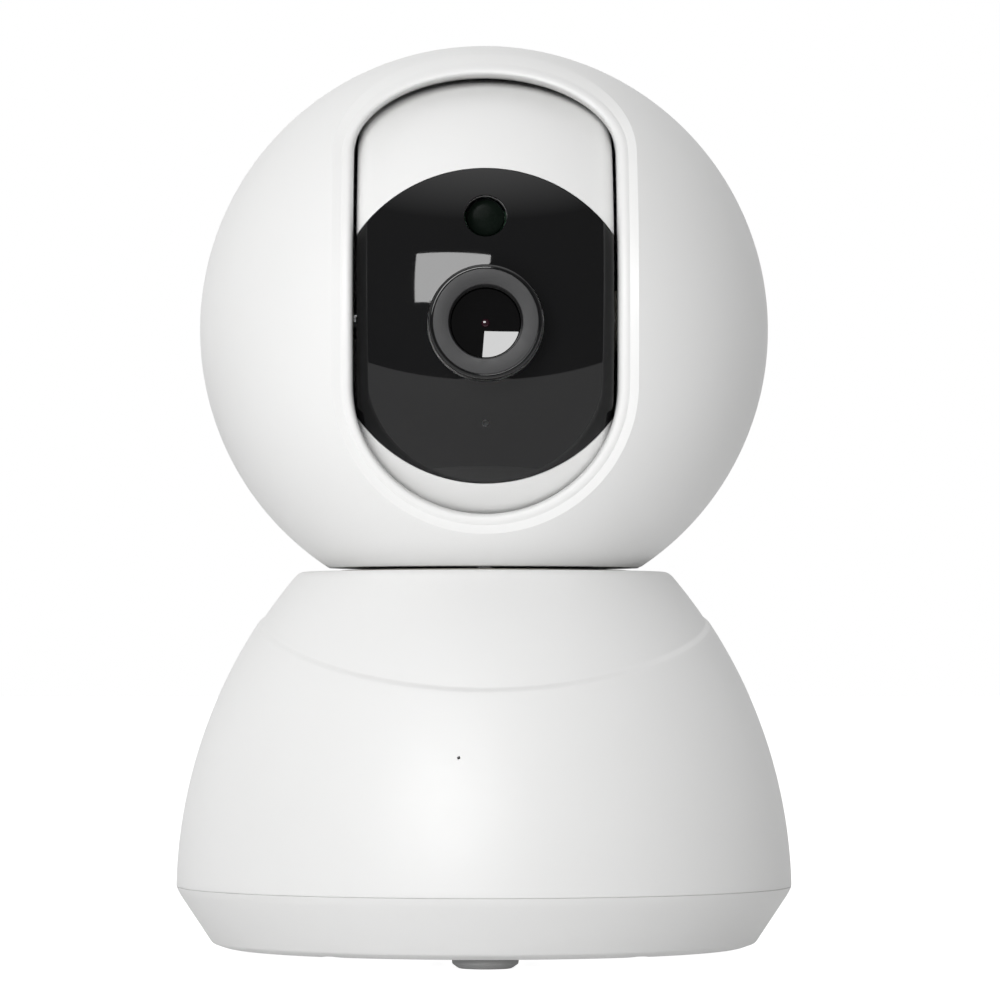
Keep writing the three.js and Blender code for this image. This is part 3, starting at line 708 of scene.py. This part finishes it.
drumShape = {
    "radius": 31.6,          # at its middle
    "crown": 34,
    "halfWidth": 16.2,
    "fillet": 1.5,
    "wall": 3,
    "seam": 0.05,            # half the gap between its two shells
    "windowRadius": 19.75,
    "windowGap": 0.07,
    "windowThickness": 1.3,
    "seatGap": 0.1,          # behind the window
    "ringHole": 7.3,
    "sensorHole": (2.7, 13.55),
    "microphoneHole": (0.4, -12.35),
    "card": (-62, 5.8, 0.6),   # the slot's angle round the drum, half its width and half its height
    "shaftHole": 2.5,
    "barrelHole": 6.4,
}


# The barrel's profile is one wide arc: radius - crown + sqrt(crown^2 - x^2).
def drumRadiusAt(x, inset=0.0):
    s = drumShape
    return s["radius"] - inset - s["crown"] + np.sqrt(s["crown"] ** 2 - np.square(x))


# The drum's outside, or a surface that lies inset within it, closed at both ends.
def barrel(inset, name="tool", steps=360):
    end = drumShape["halfWidth"] - inset
    shoulder = end - drumShape["fillet"]
    t = np.linspace(0, 1, 9)[:-1, None]
    endRadius, shoulderRadius = drumRadiusAt(end, inset), drumRadiusAt(shoulder, inset)
    points = np.array([(endRadius - drumShape["fillet"], end), (endRadius, end), (shoulderRadius, shoulder)])
    fillet = (1 - t) ** 2 * points[0] + 2 * t * (1 - t) * points[1] + t ** 2 * points[2]
    x = shoulder * np.cos(np.linspace(0, np.pi, 41))
    crown = np.stack([drumRadiusAt(x, inset), x], -1)
    side = np.concatenate([[[0, end]], fillet, crown, fillet[::-1] * [1, -1], [[0, -end]]])
    return turned(name, side, crosswise, steps)


# Turned about the tilt axis, at an angle above the optical axis.
def tilted(degrees):
    cosine, sine = math.cos(math.radians(degrees)), math.sin(math.radians(degrees))
    return lambda u, v, h: (u, tiltY - h * cosine + v * sine, tiltZ + h * sine + v * cosine)


def halfSpace(front):
    seam = drumShape["seam"]
    near, far = (tiltY - seam, 60) if front else (-60, tiltY + seam)
    return slotTool(behind(0, tiltZ), 40, 40, 1, near, far)


def windowHoles(s):
    holes = []
    for (radius, rise), steps in ((s["sensorHole"], 64), (s["microphoneHole"], 32)):
        holes.append(rodTool(ahead(0, rise), radius, 10, 45, steps))
    return holes


def makeDrumFront(s):
    hollow = barrel(s["wall"])
    shell = barrel(0, "drumFront")
    seat = rodTool(ahead(), s["windowRadius"] + s["windowGap"], 4, 45, 256)
    carve(seat, [barrel(s["windowThickness"] + s["seatGap"])])
    card = slotTool(tilted(s["card"][0]), s["card"][1], s["card"][2], 0.3, 20, 40)
    shaftHole = rodTool(crosswise, s["shaftHole"], -30, 30)
    lensHole = rodTool(ahead(), s["barrelHole"], 10, 45, 96)
    return carve(shell, [hollow, halfSpace(True), seat, card, shaftHole, lensHole, *windowHoles(s)])


def makeDrumRear(s):
    shaftHole = rodTool(crosswise, s["shaftHole"], -30, 30)
    return carve(barrel(0, "drumRear"), [barrel(s["wall"]), halfSpace(False), shaftHole])


# The part of the barrel's skin that lies within the window's radius, with its three holes.
def makeWindow(s):
    plate = carve(barrel(0, "window"), [rodTool(ahead(), s["windowRadius"], 5, 45, 256)], "INTERSECT")
    ringHole = rodTool(ahead(), s["ringHole"], 10, 45, 128)
    return carve(plate, [barrel(s["windowThickness"]), ringHole, *windowHoles(s)])


settle(makeHeadFront(headShape), "head", "white_shell", "head_front_shell")
settle(makeHeadRear(headShape), "head", "white_shell", "head_rear_shell")
print("head made")
settle(makeDrumFront(drumShape), "drum", "white_shell", "drum_front_shell")
settle(makeDrumRear(drumShape), "drum", "white_shell", "drum_rear_shell")
settle(makeWindow(drumShape), "drum", "window_black", "window")
print("drum made")


# Turned about the lens axis: radius, distance ahead of the tilt axis, and how softly that corner is rounded.
lensParts = {
    "lensRing": [(6.3, 31.9, 0), (6.3, 30.3, 0), (6.58, 30.3, 0.05), (6.58, 34.76, 0.1), (4.62, 34.7, 0.12),
                 (4.4, 31.9, 0.05)],
    "lensBezel": [(6.6, 30.3, 0), (7.15, 30.3, 0.1), (7.15, 34.3, 0.3), (6.85, 34.6, 0.15),
                  (6.6, 34.6, 0.05)],
    "lensBarrel": [(2.5, 15, 0), (6, 15, 0.2), (6, 31.6, 0.2), (4.7, 31.6, 0.1), (4.6, 28.7, 0.1),
                   (2.9, 28.5, 0.1), (2.9, 25, 0.1), (2.5, 24.6, 0)],
    "pupilLens": [(0, 29.6, 0), (0.55, 29.6, 0.1), (0.55, 30.7, 0.05), (0.45, 30.86, 0.1), (0, 31, 0)],
}
lensPlace = ahead()
ring = turned("lensRing", softened(lensParts["lensRing"]), lensPlace, 192)
settle(ring, "drum", "ring_grey", "lens_ring")
bezel = turned("lensBezel", softened(lensParts["lensBezel"]), lensPlace, 192)
settle(bezel, "drum", "window_black")
lensTube = turned("lensBarrel", softened(lensParts["lensBarrel"]), lensPlace, 128)
settle(lensTube, "drum", "inner_plastic", "lens_barrel")
# Its pink colour is a painted tint that stands in for the pinkish reflections of the lens's coating.
pupil = turned("pupilLens", softened(lensParts["pupilLens"], False), lensPlace, 128)
settle(pupil, "drum", "lens_glass", material=coatedGlass("pupilGlassPaintedReflectionTint", (0.03, 0.008, 0.014), 1.72))
frontLens = {
    "radius": 4.38,
    "back": 28.9,
    "middle": 30.7,
    "hollow": 34,            # radius of its dished front
    "bevel": 0.12,
}
dish = np.linspace(0, frontLens["radius"] - frontLens["bevel"], 24)
dishHeight = frontLens["middle"] + frontLens["hollow"] - np.sqrt(frontLens["hollow"] ** 2 - dish ** 2)
lensProfile = [(0, frontLens["back"]), (frontLens["radius"], frontLens["back"]),
               (frontLens["radius"], dishHeight[-1] - frontLens["bevel"]), *zip(dish[::-1], dishHeight[::-1])]
settle(turned("frontLens", lensProfile, lensPlace, 160), "drum", "lens_glass", "front_lens")


# Smoked green-black resin over the sensor's chip.
def sensorGlass(dark=(0.003, 0.006, 0.004), light=(0.006, 0.009, 0.007)):
    material, tree, shader = shaderFor("sensorGlass", dark, 0.25, IOR=1.1)
    dust = noiseOn(tree, objectPlace(tree), 900, 3.0)
    tree.links.new(spread(tree, dust, 0.2, 0.34), shader.inputs["Roughness"])
    tree.links.new(blendColors(tree, dust, dark, light), shader.inputs["Base Color"])
    return material


sensorProfile = [(0, 23, 0), (2.4, 23, 0.1), (2.4, 26.2, 0.3), (1.6, 26.5, 0.4), (0, 26.6, 0)]
sensor = turned("lightSensor", softened(sensorProfile, False), ahead(0, drumShape["sensorHole"][1]), 64)
settle(sensor, "drum", "lens_glass", "light_sensor", material=sensorGlass())
print("lens made")


cameraPlace = {"x": -4.5, "y": -750, "z": 40, "rise": 1.48, "turn": -0.503, "lens": 207.2}
studioLight = {
    "name": "softbox",
    "azimuth": -14.6,        # left of the camera
    "rise": 17.8,
    "away": 1.2,             # metres from the head
    "size": (0.67, 0.48),
    "watts": 9.2,
    "mirrored": True,
}
fillLight = {
    "name": "lowFill",
    "azimuth": -10,
    "rise": -16,
    "away": 1.1,
    "size": (1.1, 0.5),
    "watts": 4.0,
    "mirrored": False,       # it lights the white shells and leaves no image in the window
}
skyTones = {"front": 0.07, "behindLeft": 1.12, "behindRight": 0.7, "above": 1.05, "shown": 1.0}


def makeCamera(s):
    lens = bpy.data.cameras.new("studioCamera")
    lens.lens = s["lens"]
    lens.sensor_width = 36
    lens.clip_start, lens.clip_end = 0.05, 20
    camera = bpy.data.objects.new("studioCamera", lens)
    camera.location = [s[axis] * mm for axis in "xyz"]
    camera.rotation_euler = (math.radians(90 + s["rise"]), 0, math.radians(s["turn"]))
    bpy.context.scene.collection.objects.link(camera)
    bpy.context.scene.camera = camera


def makeLight(s):
    light = bpy.data.lights.new(s["name"], "AREA")
    light.shape = "RECTANGLE"
    light.size, light.size_y = s["size"]
    light.energy = s["watts"]
    lamp = bpy.data.objects.new(s["name"], light)
    lamp.visible_glossy = s["mirrored"]
    azimuth, rise = math.radians(s["azimuth"]), math.radians(s["rise"])
    flat = math.cos(rise)
    direction = np.array([math.sin(azimuth) * flat, -math.cos(azimuth) * flat, math.sin(rise)])
    lamp.location = direction * s["away"] + [0, 0, headCentre * mm]
    lamp.rotation_euler = (math.pi / 2 - rise, 0, azimuth)
    bpy.context.scene.collection.objects.link(lamp)


def mixNumbers(tree, share, first, second):
    node = tree.nodes.new("ShaderNodeMix")
    for socket, value in ((0, share), (2, first), (3, second)):
        if isinstance(value, (int, float)):
            node.inputs[socket].default_value = value
        else:
            tree.links.new(value, node.inputs[socket])
    return node.outputs[0]


# The studio round it: dim behind the camera, bright behind the object and above, and plain white where it is
# seen.
def makeStudio(s):
    world = bpy.data.worlds.new("studio")
    world.use_nodes = True
    bpy.context.scene.world = world
    tree = world.node_tree
    background = tree.nodes["Background"]
    background.inputs["Color"].default_value = (1, 1, 1, 1)
    direction = tree.nodes.new("ShaderNodeTexCoord")
    axes = tree.nodes.new("ShaderNodeSeparateXYZ")
    tree.links.new(direction.outputs["Generated"], axes.inputs["Vector"])
    behind = spread(tree, axes.outputs["X"], s["behindLeft"], s["behindRight"], -0.8, 0.8)
    level = mixNumbers(tree, spread(tree, axes.outputs["Y"], 0, 1, -0.25, 0.6), s["front"], behind)
    level = mixNumbers(tree, spread(tree, axes.outputs["Z"], 0, 1, 0.72, 0.98), level, s["above"])
    path = tree.nodes.new("ShaderNodeLightPath")
    level = mixNumbers(tree, path.outputs["Is Camera Ray"], level, s["shown"])
    tree.links.new(level, background.inputs["Strength"])


# Pale paper that ends a little in front of the object. It glows, though it is no lamp: a faint glow that lights
# the object from below, and a brighter glow where it is seen directly.
def makeFloor(s):
    x, near, far = s["half"], s["front"], s["back"]
    corners = np.array([[-x, near, 0], [x, near, 0], [x, far, 0], [-x, far, 0]], float)
    floor = meshObject("floor", corners, np.array([[0, 1, 2, 3]]))
    material, tree, shader = shaderFor("paperFloor", (s["tone"],) * 3, 0.85)
    shader.inputs["Emission Color"].default_value = (1, 1, 1, 1)
    path = tree.nodes.new("ShaderNodeLightPath")
    tree.links.new(spread(tree, path.outputs["Is Camera Ray"], s["glow"][0], s["glow"][1], 0, 1),
                   shader.inputs["Emission Strength"])
    floor.data.materials.append(material)


paper = {"half": 2500, "front": -160, "back": 4000, "tone": 0.5, "glow": (0.24, 0.88)}
makeCamera(cameraPlace)
makeLight(studioLight)
makeLight(fillLight)
makeStudio(skyTones)
makeFloor(paper)
bpy.context.scene.view_settings.view_transform = "Standard"
print("studio made")
